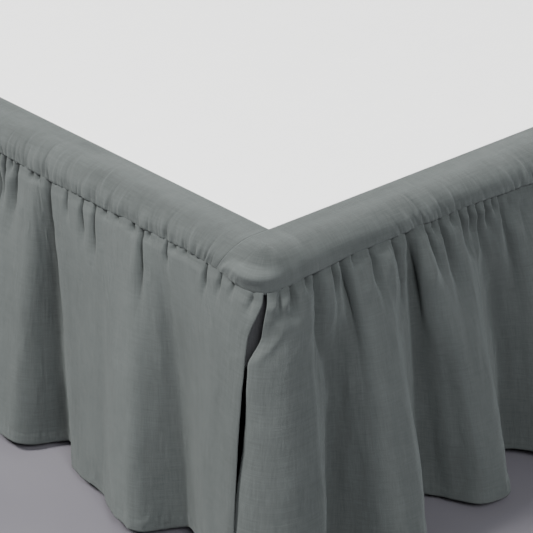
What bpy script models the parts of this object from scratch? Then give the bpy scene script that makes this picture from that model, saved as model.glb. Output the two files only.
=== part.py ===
"""Gathered bed skirt on a plain bed base, for a single bed.

The skirt is a flat deck that lies under the mattress, a border band that rolls over the edges of
the base, and three gathered ruffles with open corners at the foot. The frame is +Z up, +Y towards
the head, with the origin on the floor under the middle of the object. All sizes are in metres.
"""

import math
import random
from collections import namedtuple

import bpy
import numpy as np

# ---- Driving sizes -------------------------------------------------------------------------------
BASE_WIDTH = 0.990
BASE_LENGTH = 1.905
BASE_DEPTH = 0.180
BASE_EDGE_ROUND = 0.034
BASE_GAP = 0.0003
CLOTH_TOP = 0.400
CLOTH_THICK = 0.0012
SIDE_CLEARANCE = 0.0120
SEW_GAP = 0.0005

BAND_ON_TOP = 0.056
CORNER_ROUND = 0.032
EDGE_ROLL = 0.027
SEAM_DROP = 0.034
SEAM_WAVE = 0.0022
SEAM_KNOT_STEP = 0.110
CORNER_DROOP = 0.006

RUFFLE_LENGTH = 0.356
SIDE_PHASE = 0.4
FOOT_PHASE = 1.7
FOOT_REACH = 0.099
SIDE_WRAP = math.radians(128.0)
FOOT_WRAP = math.radians(-6.0)
WRAP_LENGTH = 0.050
HEAD_INSET = 0.030

LEG_TOP_RADIUS = 0.030
LEG_FOOT_RADIUS = 0.022
LEG_INSET = 0.085

# ---- Mesh steps ----------------------------------------------------------------------------------
ROLL_SEGMENTS = 4
CORNER_SEGMENTS = 4
RUFFLE_COLUMN_STEP = 0.0225
RUFFLE_LEVELS = (0.0, 0.015, 0.09, 0.30, 0.62, 1.0)
LEG_SIDES = 24

# ---- Worked out from them ------------------------------------------------------------------------
HALF_WIDTH = BASE_WIDTH / 2 + SIDE_CLEARANCE + CLOTH_THICK
BASE_HEAD_Y = (BASE_LENGTH + FOOT_REACH) / 2
BASE_FOOT_Y = BASE_HEAD_Y - BASE_LENGTH
FOOT_Y = BASE_FOOT_Y - SIDE_CLEARANCE - CLOTH_THICK
HEAD_Y = BASE_HEAD_Y - HEAD_INSET
BASE_TOP = CLOTH_TOP - CLOTH_THICK - BASE_GAP
BASE_BOTTOM = BASE_TOP - BASE_DEPTH
ROLL_START = CORNER_ROUND - EDGE_ROLL
ROLL_END = ROLL_START + EDGE_ROLL * math.pi / 2
BAND_DOWN = ROLL_END + SEAM_DROP - EDGE_ROLL
HALF_CORNER = CORNER_ROUND * math.pi / 4
CORNER_X = HALF_WIDTH - CORNER_ROUND
CORNER_Y = FOOT_Y + CORNER_ROUND
SIDE_RUN = HALF_CORNER + HEAD_Y - CORNER_Y
FOOT_RUN = 2 * (HALF_CORNER + CORNER_X)

# ---- The main folds of the ruffles ---------------------------------------------------------------
# seam_at and hem_at are distances along the wall from the foot corner that the panel starts at.
# out is how far the hem stands outside the wall there. Crests and troughs take turns. breadth
# tells how broad a crest is: at 1 it is as broad as a trough, and below 1 it is pinched.
Fold = namedtuple("Fold", "seam_at hem_at out breadth")
SIDE_FOLDS = (
    Fold(0.002, 0.002, 0.034, 1.0),
    Fold(0.036, 0.040, 0.052, 1.2),
    Fold(0.085, 0.094, 0.000, 1.0),
    Fold(0.132, 0.151, 0.086, 1.3),
    Fold(0.196, 0.245, -0.004, 1.0),
    Fold(0.245, 0.300, 0.075, 1.5),
    Fold(0.318, 0.380, -0.002, 1.0),
    Fold(0.405, 0.448, 0.068, 1.4),
)
FOOT_FOLDS = (
    Fold(0.002, 0.008, 0.033, 1.0),
    Fold(0.050, 0.046, 0.038, 1.1),
    Fold(0.155, 0.128, -0.009, 1.0),
    Fold(0.222, 0.163, 0.059, 0.9),
    Fold(0.272, 0.268, 0.014, 1.0),
    Fold(0.345, 0.314, 0.022, 1.3),
    Fold(0.383, 0.380, -0.018, 1.0),
    Fold(0.412, 0.446, 0.062, 1.3),
)
FAR_FOLDS = (Fold(0.002, 0.002, 0.034, 1.0), Fold(0.036, 0.042, 0.056, 1.2))
PITCH_RANGE = (0.115, 0.160)
CREST_RANGE = (0.052, 0.086)
TROUGH_RANGE = (-0.010, 0.010)
TROUGH_PLACE = (0.42, 0.58)
DRIFT = 0.012
BREADTH_RANGE = (1.0, 1.5)
END_OUT = 0.034


def spread_folds(rows, end, seed):
    """The given rows, then uneven crests and troughs in turn up to the end of the panel."""
    draw = random.Random(seed)
    left = end - rows[-1].hem_at
    pitches = [draw.uniform(*PITCH_RANGE) for _ in range(round(left / (sum(PITCH_RANGE) / 2)))]
    crest = rows[-1].hem_at
    folds = list(rows)
    for pitch in pitches:
        pitch *= left / sum(pitches)
        trough = crest + pitch * draw.uniform(*TROUGH_PLACE)
        crest += pitch
        shift, depth = draw.uniform(-DRIFT, DRIFT), draw.uniform(*TROUGH_RANGE)
        folds.append(Fold(trough + shift, trough, depth, 1.0))
        shift, reach = draw.uniform(-DRIFT, DRIFT), draw.uniform(*CREST_RANGE)
        folds.append(Fold(crest + shift, crest, reach, draw.uniform(*BREADTH_RANGE)))
    folds[-1] = Fold(end, end, END_OUT, 1.0)
    return folds


def growth(share):
    """How much of a fold has opened at this share of the way down: none right under the seam."""
    below = max(share - RUFFLE_LEVELS[1], 0.0) / (1 - RUFFLE_LEVELS[1])
    return below * (1.35 - 0.35 * below)


def fold_line(folds, share, place):
    """(along the wall, out from the wall) at one height, at places counted in rows of the table.

    From row to row the cloth follows half a cosine wave, drawn out by the breadth of its crest.
    Along the wall it moves from the seam's place to the hem's as the fold opens.
    """
    seam, hem, reach, breadth = np.array(folds).T
    opened = growth(share)
    at = seam + (hem - seam) * opened
    row = np.minimum(place.astype(int), len(folds) - 2)
    t = place - row
    rise = reach[row + 1] - reach[row]
    t_broad = np.where(rise > 0, 1 - (1 - t) ** breadth[row + 1], t ** breadth[row])
    wave = (1 - np.cos(np.pi * t_broad)) / 2
    return at[row] + (at[row + 1] - at[row]) * t, (reach[row] + rise * wave) * opened


# ---- The line of the gathered seam ---------------------------------------------------------------
def seam_knots(run):
    """Distances along a wall: close together round the corners, far apart on the straight."""
    corner = np.linspace(0.0, HALF_CORNER, CORNER_SEGMENTS + 1)
    far = run - HALF_CORNER if run == FOOT_RUN else run
    straight = np.linspace(HALF_CORNER, far, round((far - HALF_CORNER) / SEAM_KNOT_STEP) + 1)
    knots = np.concatenate([corner[:-1], straight])
    return np.concatenate([knots, run - corner[-2::-1]]) if run == FOOT_RUN else knots


def seam_height(along, run, phase):
    """The seam's height: slightly wavy, and lower at the foot corners where the band is stretched."""
    knots = seam_knots(run)
    from_corner = np.minimum(knots, run - knots) if run == FOOT_RUN else knots
    wave = np.sin(knots * 9.1 + phase) + 0.6 * np.sin(knots * 23.0 + 2.1 * phase)
    calm = np.clip((from_corner - HALF_CORNER) / SEAM_KNOT_STEP, 0.0, 1.0)
    droop = np.clip(1 - from_corner / (HALF_CORNER + SEAM_KNOT_STEP), 0.0, 1.0)
    height = CLOTH_TOP - SEAM_DROP + SEAM_WAVE * wave * calm - CORNER_DROOP * droop
    return np.interp(along, knots, height)


def side_line(along):
    """Plan points on the right side wall and the directions that its ruffle stands out in.

    At the open corner the ruffle turns round towards the foot.
    """
    angle = np.clip(1 - along / HALF_CORNER, 0.0, 1.0) * math.pi / 4
    x = CORNER_X + CORNER_ROUND * np.cos(angle)
    y = CORNER_Y - CORNER_ROUND * np.sin(angle) + np.maximum(along - HALF_CORNER, 0.0)
    facing = SIDE_WRAP * np.clip(1 - along / WRAP_LENGTH, 0.0, 1.0) ** 1.5
    return np.stack([x, y], -1), np.stack([np.cos(facing), -np.sin(facing)], -1)


def foot_line(along):
    """The same for the foot wall, from the right corner to the left one."""
    near = np.clip(1 - along / HALF_CORNER, 0.0, 1.0)
    far = np.clip(1 - (FOOT_RUN - along) / HALF_CORNER, 0.0, 1.0)
    angle = (near - far) * math.pi / 4
    straight = np.clip(along - HALF_CORNER, 0.0, 2 * CORNER_X)
    x = CORNER_X - straight + CORNER_ROUND * np.sin(angle)
    y = CORNER_Y - CORNER_ROUND * np.cos(angle)
    facing = (near - far) * FOOT_WRAP
    return np.stack([x, y], -1), np.stack([np.sin(facing), -np.cos(facing)], -1)


# ---- Blender helpers -----------------------------------------------------------------------------
def clear_scene():
    for obj in list(bpy.data.objects):
        bpy.data.objects.remove(obj, do_unlink=True)


def new_collection(name):
    collection = bpy.data.collections.new(name)
    bpy.context.scene.collection.children.link(collection)
    return collection


def material(name, colour, roughness):
    made = bpy.data.materials.new(name)
    made.use_nodes = True
    shader = made.node_tree.nodes["Principled BSDF"]
    shader.inputs["Base Color"].default_value = (*colour, 1.0)
    shader.inputs["Roughness"].default_value = roughness
    shader.inputs["Metallic"].default_value = 0.0
    made.diffuse_color = (*colour, 1.0)
    return made


def add_object(name, mesh, finish, collection):
    obj = bpy.data.objects.new(name, mesh)
    obj.data.materials.append(finish)
    collection.objects.link(obj)
    return obj


def adopt(name, finish, collection):
    """Takes over the primitive that an operator has just made."""
    obj = bpy.context.active_object
    obj.name = name
    obj.data.name = name
    obj.data.materials.append(finish)
    for old in list(obj.users_collection):
        old.objects.unlink(obj)
    collection.objects.link(obj)
    return obj


def grid_mesh(name, points, flip=False):
    """A mesh of quads through a grid of points, which are indexed [row, column, axis]."""
    rows, columns = points.shape[:2]
    corner = np.arange(rows * columns).reshape(rows, columns)
    quads = np.stack([corner[:-1, :-1], corner[:-1, 1:], corner[1:, 1:], corner[1:, :-1]], -1).reshape(-1, 4)
    if flip:
        quads = quads[:, ::-1]
    mesh = bpy.data.meshes.new(name)
    mesh.from_pydata(points.reshape(-1, 3).tolist(), [], quads.tolist())
    mesh.shade_smooth()
    return mesh


def give_thickness(obj):
    """Cloth thickness, added on the inner side of the modelled surface."""
    solidify = obj.modifiers.new("Thickness", "SOLIDIFY")
    solidify.thickness = CLOTH_THICK
    solidify.offset = -1.0
    solidify.use_even_offset = True
    solidify.use_rim = True


# ---- Bed base ------------------------------------------------------------------------------------
def build_base(finish, collection):
    """The upholstered box that the skirt lies on, with its edges rounded."""
    middle = ((BASE_FOOT_Y + BASE_HEAD_Y) / 2, (BASE_BOTTOM + BASE_TOP) / 2)
    bpy.ops.mesh.primitive_cube_add(size=1.0, location=(0.0, *middle))
    base = adopt("base", finish, collection)
    base.scale = (BASE_WIDTH, BASE_LENGTH, BASE_DEPTH)
    bpy.ops.object.transform_apply(location=False, rotation=False, scale=True)
    bevel = base.modifiers.new("Rounded edges", "BEVEL")
    bevel.width = BASE_EDGE_ROUND
    bevel.segments = 4
    base.data.shade_smooth()


def build_legs(finish, collection):
    """Four tapered round legs, which stand clear under the base."""
    height = BASE_BOTTOM - BASE_GAP
    for side, x_sign in (("right", 1), ("left", -1)):
        for end, edge, into in (("foot", BASE_FOOT_Y, 1), ("head", BASE_HEAD_Y, -1)):
            bpy.ops.mesh.primitive_cone_add(
                vertices=LEG_SIDES,
                radius1=LEG_FOOT_RADIUS,
                radius2=LEG_TOP_RADIUS,
                depth=height,
                location=(x_sign * (BASE_WIDTH / 2 - LEG_INSET), edge + into * LEG_INSET, height / 2),
            )
            adopt(f"leg_{end}_{side}", finish, collection).data.shade_flat()


# ---- Deck and border band ------------------------------------------------------------------------
def build_deck(finish, collection):
    """The flat cloth inside the border, under the mattress."""
    inner_x = HALF_WIDTH - BAND_ON_TOP - SEW_GAP
    foot_y = FOOT_Y + BAND_ON_TOP + SEW_GAP
    middle = ((foot_y + HEAD_Y) / 2, CLOTH_TOP - CLOTH_THICK / 2)
    bpy.ops.mesh.primitive_cube_add(size=1.0, location=(0.0, *middle))
    deck = adopt("deck", finish, collection)
    deck.scale = (2 * inner_x, HEAD_Y - foot_y, CLOTH_THICK)
    bpy.ops.object.transform_apply(location=False, rotation=False, scale=True)


def roll(distance):
    """(how far out, how far down) cloth lies after this distance from the corner's centre line.

    It runs flat, then round a quarter circle of EDGE_ROLL, then straight down.
    """
    turn = np.clip((distance - ROLL_START) / EDGE_ROLL, 0.0, math.pi / 2)
    flat = np.minimum(distance, ROLL_START)
    down = np.maximum(distance - ROLL_END, 0.0)
    return flat + EDGE_ROLL * np.sin(turn), EDGE_ROLL * (1 - np.cos(turn)) + down


def over_corner(across, beyond):
    """Plan offset from the corner's centre, and the drop, of cloth that far past it both ways.

    The square patch past the centre is spread over a quarter disc, ring by ring. The last value
    is the distance of each point from the middle of the corner, along the wall.
    """
    reach = np.maximum(np.maximum(across, beyond), 1e-9)
    a, b = np.maximum(across, 0.0), np.maximum(beyond, 0.0)
    angle = np.where(a >= b, b / reach, 2 - a / reach) * math.pi / 4
    out, down = roll(reach)
    x = np.where(across > 0, out * np.cos(angle), across)
    y = np.where(beyond > 0, out * np.sin(angle), beyond)
    down = np.where(reach > 1e-6, down, 0.0)
    along = HALF_CORNER * np.abs(angle / (math.pi / 4) - 1) - np.minimum(np.minimum(across, beyond), 0.0)
    return x, -y, down, along


def roll_stations():
    """Distances past the corner's centre line at which the band has an edge loop."""
    turned = ROLL_START + EDGE_ROLL * np.linspace(0.0, math.pi / 2, ROLL_SEGMENTS + 1)
    return np.concatenate([[0.0], turned, [BAND_DOWN]])


def follow_seam(down, height):
    """The drop again, with the band's straight lower part stretched to end at this seam height."""
    share = np.clip((down - EDGE_ROLL) / (SEAM_DROP - EDGE_ROLL), 0.0, 1.0)
    return down + share * (CLOTH_TOP - height - SEAM_DROP)


def build_side_band(name, mirror, finish, collection):
    """A border strip along one side, which also caps the foot corner."""
    across = np.concatenate([[CORNER_ROUND - BAND_ON_TOP], roll_stations()])
    straight = HALF_CORNER - seam_knots(SIDE_RUN)[CORNER_SEGMENTS + 1 :]
    a, b = np.meshgrid(across, np.concatenate([roll_stations()[::-1], straight]))
    x, y, down, along = over_corner(a, b)
    side = seam_height(along, SIDE_RUN, SIDE_PHASE)
    foot = seam_height(along, FOOT_RUN, FOOT_PHASE)
    down = follow_seam(down, np.where(b > np.maximum(a, 0.0), foot, side))
    points = np.stack([CORNER_X + x, CORNER_Y + y, CLOTH_TOP - down], -1)
    if mirror:
        points[..., 0] *= -1
    band = add_object(name, grid_mesh(name, points, flip=mirror), finish, collection)
    give_thickness(band)


def build_foot_band(finish, collection):
    """The border strip across the foot, which butts against both side strips."""
    inner = HALF_WIDTH - BAND_ON_TOP - SEW_GAP
    knots = CORNER_X + HALF_CORNER - seam_knots(FOOT_RUN)
    x_line = np.concatenate([[inner], knots[np.abs(knots) < inner - 0.01], [-inner]])
    beyond = np.concatenate([[CORNER_ROUND - BAND_ON_TOP], roll_stations()])
    x, b = np.meshgrid(x_line, beyond)
    out, down = roll(np.maximum(b, 0.0))
    height = seam_height(CORNER_X + HALF_CORNER - x, FOOT_RUN, FOOT_PHASE)
    down = follow_seam(down, height)
    points = np.stack([x, CORNER_Y - np.where(b > 0, out, b), CLOTH_TOP - down], -1)
    band = add_object("band_foot", grid_mesh("band_foot", points), finish, collection)
    give_thickness(band)


# ---- Ruffles -------------------------------------------------------------------------------------
def ruffle_points(folds, run, line, phase):
    """Grid of points, from the seam down, through the main folds of one ruffle.

    Columns are spaced evenly along the wavy hem. Every column keeps the ruffle's length, so where
    a fold stands out its hem hangs higher.
    """
    fine = np.linspace(0.0, len(folds) - 1, 4000)
    along, out = fold_line(folds, 1.0, fine)
    length = np.concatenate([[0.0], np.cumsum(np.hypot(np.diff(along), np.diff(out)))])
    columns = round(length[-1] / RUFFLE_COLUMN_STEP) + 1
    place = np.interp(np.linspace(0.0, length[-1], columns), length, fine)
    rows = np.array([fold_line(folds, share, place) for share in RUFFLE_LEVELS])
    along, out = rows[:, 0], rows[:, 1]
    step = np.diff(RUFFLE_LEVELS)[:, None] * RUFFLE_LENGTH
    sideways = np.hypot(np.diff(along, axis=0), np.diff(out, axis=0))
    drop = np.sqrt(step**2 - np.minimum(sideways, 0.9 * step) ** 2)
    down = np.concatenate([np.zeros((1, columns)), np.cumsum(drop, axis=0)])
    height = seam_height(along[:1], run, phase) - SEW_GAP - down
    where, facing = line(along)
    return np.concatenate([where + facing * out[..., None], height[..., None]], -1)


def build_ruffle(name, points, flip, finish, collection):
    ruffle = add_object(name, grid_mesh(name, points, flip), finish, collection)
    give_thickness(ruffle)


def build_skirt(cloth, lining, collection):
    build_deck(lining, collection)
    build_side_band("band_side_right", False, cloth, collection)
    build_side_band("band_side_left", True, cloth, collection)
    build_foot_band(cloth, collection)
    side_right = spread_folds(SIDE_FOLDS, SIDE_RUN, seed=11)
    side_left = spread_folds(FAR_FOLDS, SIDE_RUN, seed=23)
    foot = spread_folds(FOOT_FOLDS, FOOT_RUN - FOOT_FOLDS[0].seam_at, seed=5)
    right = ruffle_points(side_right, SIDE_RUN, side_line, SIDE_PHASE)
    left = ruffle_points(side_left, SIDE_RUN, side_line, SIDE_PHASE) * (-1, 1, 1)
    front = ruffle_points(foot, FOOT_RUN, foot_line, FOOT_PHASE)
    build_ruffle("ruffle_side_right", right, True, cloth, collection)
    build_ruffle("ruffle_side_left", left, False, cloth, collection)
    build_ruffle("ruffle_foot", front, False, cloth, collection)


def main():
    clear_scene()
    collection = new_collection("Bed skirt")
    cloth = material("Washed linen", (0.19, 0.21, 0.205), 0.9)
    lining = material("White cotton", (0.80, 0.80, 0.79), 0.9)
    ticking = material("Base ticking", (0.72, 0.70, 0.66), 0.85)
    wood = material("Leg wood", (0.36, 0.22, 0.12), 0.5)
    build_base(ticking, collection)
    build_legs(wood, collection)
    build_skirt(cloth, lining, collection)


main()
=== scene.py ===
# %% [markdown]
# # A gathered bed skirt on its bed base
# The skirt is sewn from washed linen: a border band rolls over the edge of the base, and three
# gathered ruffles hang from it almost to the floor. A white cotton deck joins the bands and lies
# under the mattress. The CAD model gives every size and place, and this lesson builds the cloth
# that shows: folds, tucks, puckers, hems and weave.

# %% Load the frame
import math
import random
from collections import namedtuple

import bmesh
import bpy
import numpy as np
from mathutils import Euler, Matrix, Vector


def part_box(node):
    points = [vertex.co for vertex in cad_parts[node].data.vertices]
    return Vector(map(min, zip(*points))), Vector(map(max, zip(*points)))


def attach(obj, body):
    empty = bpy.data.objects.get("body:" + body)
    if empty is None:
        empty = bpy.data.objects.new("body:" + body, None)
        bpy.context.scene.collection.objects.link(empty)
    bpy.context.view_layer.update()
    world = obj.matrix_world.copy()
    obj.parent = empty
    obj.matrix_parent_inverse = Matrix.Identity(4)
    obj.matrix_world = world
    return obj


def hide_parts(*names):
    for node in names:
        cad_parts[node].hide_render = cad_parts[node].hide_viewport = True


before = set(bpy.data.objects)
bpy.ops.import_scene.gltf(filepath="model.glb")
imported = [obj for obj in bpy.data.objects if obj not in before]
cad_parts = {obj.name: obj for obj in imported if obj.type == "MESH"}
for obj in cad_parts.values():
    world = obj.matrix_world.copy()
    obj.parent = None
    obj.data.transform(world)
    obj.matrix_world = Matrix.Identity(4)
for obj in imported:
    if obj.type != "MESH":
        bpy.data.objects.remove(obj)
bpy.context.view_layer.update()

# %% [markdown]
# ## Sizes
# The side band's box gives the planes that the cloth hangs in. The other sizes repeat the
# skirt's pattern: how wide the band is, how it rolls over the edge, and how long the ruffle is.
# All are in metres, and every piece takes its place from them, so none can drift from its CAD
# node.

# %% Planes of the skirt
band_low, band_high = (np.array(corner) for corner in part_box("band_side_right"))
deck_low, deck_high = (np.array(corner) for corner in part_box("deck"))
base_low, base_high = (np.array(corner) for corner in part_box("base"))
HALF_WIDTH = band_high[0]
FOOT_Y = band_low[1]
HEAD_Y = band_high[1]
CLOTH_TOP = band_high[2]
print(f"skirt {2 * HALF_WIDTH:.3f} wide, y {FOOT_Y:.3f} to {HEAD_Y:.3f}, top {CLOTH_TOP:.3f}")

# %% The skirt's pattern
CLOTH_THICK = 0.0010
BAND_ON_TOP = HALF_WIDTH - band_low[0]
CORNER_ROUND = 0.032
ROLL_OUT, ROLL_DOWN = 0.031, 0.025
SEAM_DROP = 0.034
RUFFLE_LENGTH = 0.356

ROLL_START = CORNER_ROUND - ROLL_OUT
ROLL_END = ROLL_START + math.hypot(ROLL_OUT, ROLL_DOWN) * math.pi / math.sqrt(8)
BAND_DOWN = ROLL_END + SEAM_DROP - ROLL_DOWN
BAND_CUT = BAND_DOWN + BAND_ON_TOP - CORNER_ROUND
HALF_CORNER = CORNER_ROUND * math.pi / 4
CORNER_X = HALF_WIDTH - CORNER_ROUND
CORNER_Y = FOOT_Y + CORNER_ROUND
SIDE_RUN = HALF_CORNER + HEAD_Y - CORNER_Y
FOOT_RUN = 2 * (HALF_CORNER + CORNER_X)
print(f"side seam {SIDE_RUN:.3f}, foot seam {FOOT_RUN:.3f}, band cut {BAND_CUT:.3f}")

# %% [markdown]
# ## Smooth noise
# Cloth is never quite regular. Blender's own noise belongs to textures and modifiers, and a
# shape that is worked out with numpy needs noise as a function. Value noise is the simplest:
# random numbers sit on a lattice, and an easing curve blends from one to the next. Its seed
# makes it the same on every run.

# %% Curves, and value noise on a line and on a plane
def ease(t):
    """0 to 1 with a soft start and end: 3t^2 - 2t^3, held inside 0 to 1."""
    t = np.clip(t, 0.0, 1.0)
    return t * t * (3 - 2 * t)


def bell(x, width=1.0):
    """A bell curve: e to the power of minus (x / width) squared, 1 in the middle."""
    return np.exp(-((x / width) ** 2))


def noise_line(x, seed):
    """-1 to 1 along a line: random numbers at whole x, eased between."""
    values = np.random.default_rng(seed).uniform(-1, 1, 1024)
    cell = np.floor(x).astype(int)
    a, b = values[cell % 1024], values[(cell + 1) % 1024]
    return a + (b - a) * ease(x - cell)


def noise_plane(x, y, seed):
    """-1 to 1 over a plane: random numbers at whole x and y, eased between both ways."""
    values = np.random.default_rng(seed).uniform(-1, 1, (256, 256))
    x, y = np.broadcast_arrays(x, y)
    i, j = np.floor(x).astype(int), np.floor(y).astype(int)
    s, t = ease(x - i), ease(y - j)
    near = values[i % 256, j % 256] * (1 - s) + values[(i + 1) % 256, j % 256] * s
    far = values[i % 256, (j + 1) % 256] * (1 - s) + values[(i + 1) % 256, (j + 1) % 256] * s
    return near + (far - near) * t


def creases(x, y, seed):
    """0 to 1, 1 along thin winding lines: a bell curve of the noise's distance from zero."""
    return bell(noise_plane(x, y, seed), 0.14)


print("noise at 0.5:", round(float(noise_line(np.array(0.5), 1)), 3))

# %% [markdown]
# ## From a grid of points to a piece
# Every sheet is a grid of points worked out as whole arrays. A plane moved by modifiers could
# give a grid too, but arrays are exact and quick, and they tell how much cloth a fold takes. A UV
# map holds each point's place on the flat cloth, in metres, so the weave follows every fold.

# %% Grid helpers
def sheet_mesh(name, points, flat, tone=None, flip=False):
    """A mesh of quads through a grid [row, column, xyz], with UV = place on the flat cloth.

    tone is a value per point, kept as the attribute "tone": painted light and shade.
    """
    rows, columns = points.shape[:2]
    index = np.arange(rows * columns).reshape(rows, columns)
    corners = [index[:-1, :-1], index[:-1, 1:], index[1:, 1:], index[1:, :-1]]
    quads = np.stack(corners, -1).reshape(-1, 4)
    if flip:
        quads = quads[:, ::-1]
    mesh = bpy.data.meshes.new(name)
    mesh.vertices.add(rows * columns)
    mesh.vertices.foreach_set("co", points.reshape(-1).astype(np.float32))
    mesh.loops.add(quads.size)
    mesh.loops.foreach_set("vertex_index", quads.reshape(-1).astype(np.int32))
    mesh.polygons.add(len(quads))
    mesh.polygons.foreach_set("loop_start", (np.arange(len(quads)) * 4).astype(np.int32))
    mesh.update(calc_edges=True)
    uv = mesh.uv_layers.new(name="cloth")
    uv.data.foreach_set("uv", flat.reshape(-1, 2)[quads.reshape(-1)].reshape(-1).astype(np.float32))
    if tone is not None:
        layer = mesh.attributes.new("tone", "FLOAT", "POINT")
        layer.data.foreach_set("value", tone.reshape(-1).astype(np.float32))
    mesh.shade_smooth()
    return mesh


def add_piece(mesh, finish, slot, *nodes):
    """An object at the origin that stands for the named CAD nodes."""
    piece = bpy.data.objects.new(mesh.name, mesh)
    bpy.context.scene.collection.objects.link(piece)
    mesh.materials.append(finish)
    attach(piece, "root")
    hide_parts(*nodes)
    return piece


def thicken(piece, thickness=CLOTH_THICK):
    """Closes a sheet: its back lies a cloth's thickness behind its face."""
    solidify = piece.modifiers.new("Thickness", "SOLIDIFY")
    solidify.thickness = thickness
    solidify.offset = -1.0


def surface_normals(points):
    """Unit normals of a grid of points: the cross product of its row and column directions."""
    across = np.gradient(points, axis=1)
    down = np.gradient(points, axis=0)
    normal = np.cross(down, across)
    return normal / np.maximum(np.linalg.norm(normal, axis=-1, keepdims=True), 1e-12)


def running_length(points):
    """How far along a line of points each one lies: the lengths of the steps, added up."""
    steps = np.linalg.norm(np.diff(points, axis=0), axis=-1)
    return np.concatenate([[0.0], np.cumsum(steps)])


# %% [markdown]
# ## Camera and light
# The camera looks down at the foot corner through a long lens, so the corner keeps its angles. A
# soft key light stands in front and to the left, so the foot is lit and the long side is in half
# shade. A weaker fill on the camera's side opens that shade, a wide light behind the head brings
# out the top of the band, and a pale sky fills the folds.

# %% Camera
VIEW_TURN, VIEW_DOWN, VIEW_ROLL = math.radians(48.26), math.radians(27.0), math.radians(0.13)
CAMERA_FROM_CORNER = Vector((1.3546, -1.2058, 0.9201))
camera = bpy.data.objects.new("camera", bpy.data.cameras.new("camera"))
bpy.context.scene.collection.objects.link(camera)
camera.data.lens = 134.4
camera.data.clip_start, camera.data.clip_end = 0.05, 200.0
aimed = Euler((math.pi / 2 - VIEW_DOWN, 0.0, VIEW_TURN)).to_matrix().to_4x4()
rolled = Matrix.Rotation(VIEW_ROLL, 4, "Z")
foot_corner = Vector((HALF_WIDTH, FOOT_Y, CLOTH_TOP))
camera.matrix_world = Matrix.Translation(foot_corner + CAMERA_FROM_CORNER) @ aimed @ rolled
bpy.context.scene.camera = camera
print("camera at", [round(v, 3) for v in camera.matrix_world.translation])


# %% Lights
def soft_light(name, place, target, size, power, colour):
    """A square area light that faces its target."""
    lamp = bpy.data.lights.new(name, "AREA")
    lamp.size, lamp.energy, lamp.color = size, power, colour
    light = bpy.data.objects.new(name, lamp)
    bpy.context.scene.collection.objects.link(light)
    aim = (Vector(target) - Vector(place)).to_track_quat("-Z", "Y")
    light.matrix_world = Matrix.Translation(place) @ aim.to_matrix().to_4x4()


soft_light("key", (-1.0, -3.9, 4.4), (0.2, -0.6, 0.2), 1.3, 565.0, (1.0, 0.99, 0.97))
soft_light("fill", (4.0, -2.6, 3.6), (0.4, -0.4, 0.2), 1.6, 255.0, (0.96, 0.98, 1.0))
soft_light("back", (-1.5, 4.6, 3.6), (0.0, 0.4, 0.2), 2.5, 490.0, (1.0, 1.0, 1.0))
sky = bpy.data.worlds.new("studio")
bpy.context.scene.world = sky
sky.use_nodes = True
background = sky.node_tree.nodes["Background"]
background.inputs["Color"].default_value = (0.93, 0.94, 0.96, 1.0)
background.inputs["Strength"].default_value = 0.36
print("lights:", [thing.name for thing in bpy.data.lights])

# %% [markdown]
# ## Finishes
# Washed linen is a plain weave of uneven yarn. Two effects make it: thick and thin stretches of
# yarn, called slubs, which streak the cloth both ways, and the weave's own relief. An image
# texture is sharp at one distance only, and noise is at all of them. One node group gives both
# effects for every woven cloth here, with its own pitch and strength each time.

# %% Node helpers
def new_group(name, inputs, outputs):
    """An empty shader node group with named float or vector sockets."""
    group = bpy.data.node_groups.new(name, "ShaderNodeTree")
    for label, kind, value in inputs:
        socket = group.interface.new_socket(label, in_out="INPUT", socket_type=kind)
        if value is not None:
            socket.default_value = value
    for label, kind in outputs:
        group.interface.new_socket(label, in_out="OUTPUT", socket_type=kind)
    return group, group.nodes.new("NodeGroupInput"), group.nodes.new("NodeGroupOutput")


def math_node(tree, operation, *operands):
    """One Math node: each operand is a socket or a number."""
    node = tree.nodes.new("ShaderNodeMath")
    node.operation = operation
    for slot, value in enumerate(operands):
        if isinstance(value, bpy.types.NodeSocket):
            tree.links.new(value, node.inputs[slot])
        else:
            node.inputs[slot].default_value = value
    return node.outputs[0]


def stretched_noise(tree, vector, scale, detail=2.0):
    """Noise drawn out one way: the vector is multiplied by (x, y, z) scales before it is read."""
    scaled = tree.nodes.new("ShaderNodeVectorMath")
    scaled.operation = "MULTIPLY"
    tree.links.new(vector, scaled.inputs[0])
    scaled.inputs[1].default_value = scale
    noise = tree.nodes.new("ShaderNodeTexNoise")
    noise.inputs["Scale"].default_value = 1.0
    noise.inputs["Detail"].default_value = detail
    tree.links.new(scaled.outputs[0], noise.inputs["Vector"])
    return noise.outputs[0]


def new_finish(name):
    """An empty material with nodes: (material, its node tree, its Principled shader)."""
    finish = bpy.data.materials.new(name)
    finish.use_nodes = True
    return finish, finish.node_tree, finish.node_tree.nodes["Principled BSDF"]


def two_tone(tree, shader, value, low, high):
    """Base colour from a value: each end is (value there, colour), with an even blend between."""
    ramp = tree.nodes.new("ShaderNodeValToRGB")
    for element, (position, colour) in zip(ramp.color_ramp.elements, (low, high)):
        element.position, element.color = position, (*colour, 1.0)
    tree.links.new(value, ramp.inputs[0])
    tree.links.new(ramp.outputs[0], shader.inputs["Base Color"])


def add_bump(tree, shader, height, strength, distance):
    """Relief from a height socket, of this strength and this depth in metres."""
    bump = tree.nodes.new("ShaderNodeBump")
    bump.inputs["Strength"].default_value = strength
    bump.inputs["Distance"].default_value = distance
    tree.links.new(height, bump.inputs["Height"])
    tree.links.new(bump.outputs[0], shader.inputs["Normal"])


# %% The slubby weave group
FINE_SLUB, FINE_YARN = 55.0, 900.0
BROAD_WEFT = (16.0, 330.0, 16.0)
BROAD_WARP = (330.0, 11.0, 11.0)
CLOUDS = (22.0, 14.0, 14.0)
BROAD_SHARE = 0.55
CHECKER_SHARE, SLUB_SHARE = 0.35, 0.8


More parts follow.
